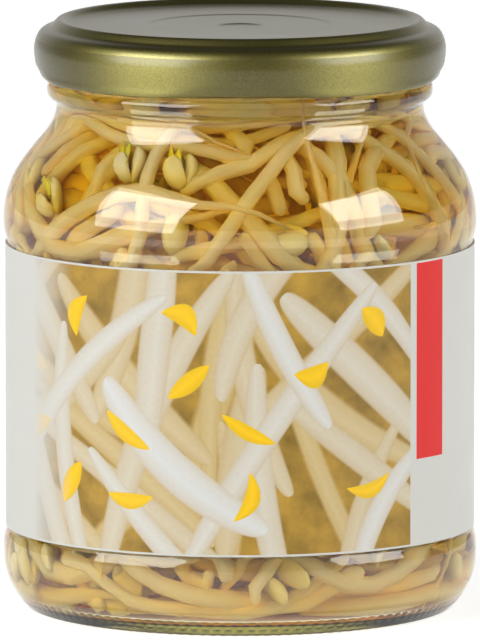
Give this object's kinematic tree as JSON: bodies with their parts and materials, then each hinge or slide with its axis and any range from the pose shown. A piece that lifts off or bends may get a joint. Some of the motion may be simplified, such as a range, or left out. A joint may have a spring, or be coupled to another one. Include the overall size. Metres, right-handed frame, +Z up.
{
  "type": "jar of bean sprouts",
  "caption": "Round glass jar packed with pale bean sprouts in golden brine, with a paper wrap label and a metal twist-off lid that unscrews.",
  "frame": {"origin": "middle of the jar's foot, on the plane it stands on", "axes": "+Z up along the jar's axis; -Y is the front, which the middle of the label's print faces; +X is to the right seen from the front"},
  "size_m": [0.0798, 0.0798, 0.1],
  "materials": {
    "glass": "gloss",
    "label_paper": "satin",
    "brine": "gloss",
    "sprouts": "satin",
    "sealing_compound": "matte",
    "lid_lacquer": "satin"
  },
  "bodies": {
    "jar": {"glass_jar": "glass", "label": "label_paper", "brine": "brine", "sprouts": "sprouts"},
    "seal": {"lid_seal": "sealing_compound"},
    "lid": {"lid": "lid_lacquer"}
  },
  "joints": [
    {"name": "lid_rise", "type": "slide", "parent": "jar", "child": "seal", "axis": [0, 0, 1], "range_m": [0, 0.002]},
    {"name": "lid_turn", "type": "hinge", "parent": "seal", "child": "lid", "pos_m": [0, 0, 0.095], "axis": [0, 0, 1], "range_deg": [0, 60]}
  ],
  "couplings": [
    {"joint": "lid_rise", "follows": "lid_turn", "m_per_rad": 0.0019099}
  ]
}
